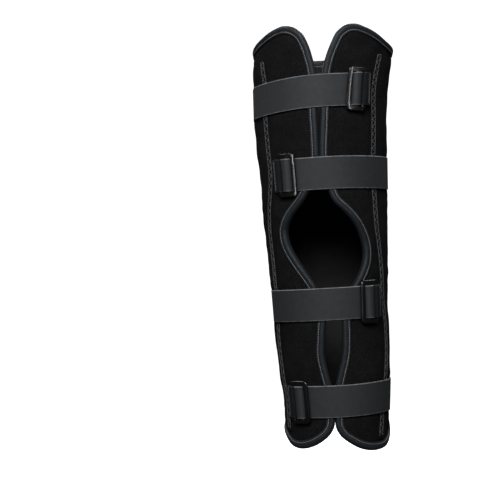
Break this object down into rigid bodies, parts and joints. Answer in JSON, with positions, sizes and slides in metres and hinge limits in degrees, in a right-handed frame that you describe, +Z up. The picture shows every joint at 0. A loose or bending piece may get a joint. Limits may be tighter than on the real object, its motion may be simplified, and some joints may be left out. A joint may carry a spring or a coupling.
{
  "type": "knee immobilizer",
  "caption": "Padded wrap that holds a leg straight, open over the kneecap, with bound edges, side stay channels and level webbing straps on slider rings.",
  "frame": {"origin": "the centre of the knee inside the leg hollow, level with the middle of the kneecap opening", "axes": "+Z up the leg towards the thigh, -Y towards the front of the knee, +X towards the side with the rings of the first and third straps"},
  "size_m": [0.1737, 0.1713, 0.5004],
  "materials": {
    "pile_laminate": "matt black brushed loop pile on foam",
    "binding_tape": "soft knitted tape with a slight sheen",
    "webbing": "brushed narrow webbing with firm edges",
    "tab_webbing": "ribbed webbing with zigzag stitching",
    "ring_plastic": "satin black moulded plastic"
  },
  "bodies": {
    "root": {"wrap": "pile_laminate", "edge_binding": "binding_tape", "stay_channel_left": "pile_laminate", "stay_channel_right": "pile_laminate", "strap_1": "webbing", "strap_2": "webbing", "strap_3": "webbing", "strap_4": "webbing", "ring_1": "ring_plastic", "ring_2": "ring_plastic", "ring_3": "ring_plastic", "ring_4": "ring_plastic", "tab_1": "tab_webbing", "tab_2": "tab_webbing", "tab_3": "tab_webbing", "tab_4": "tab_webbing"}
  },
  "joints": []
}
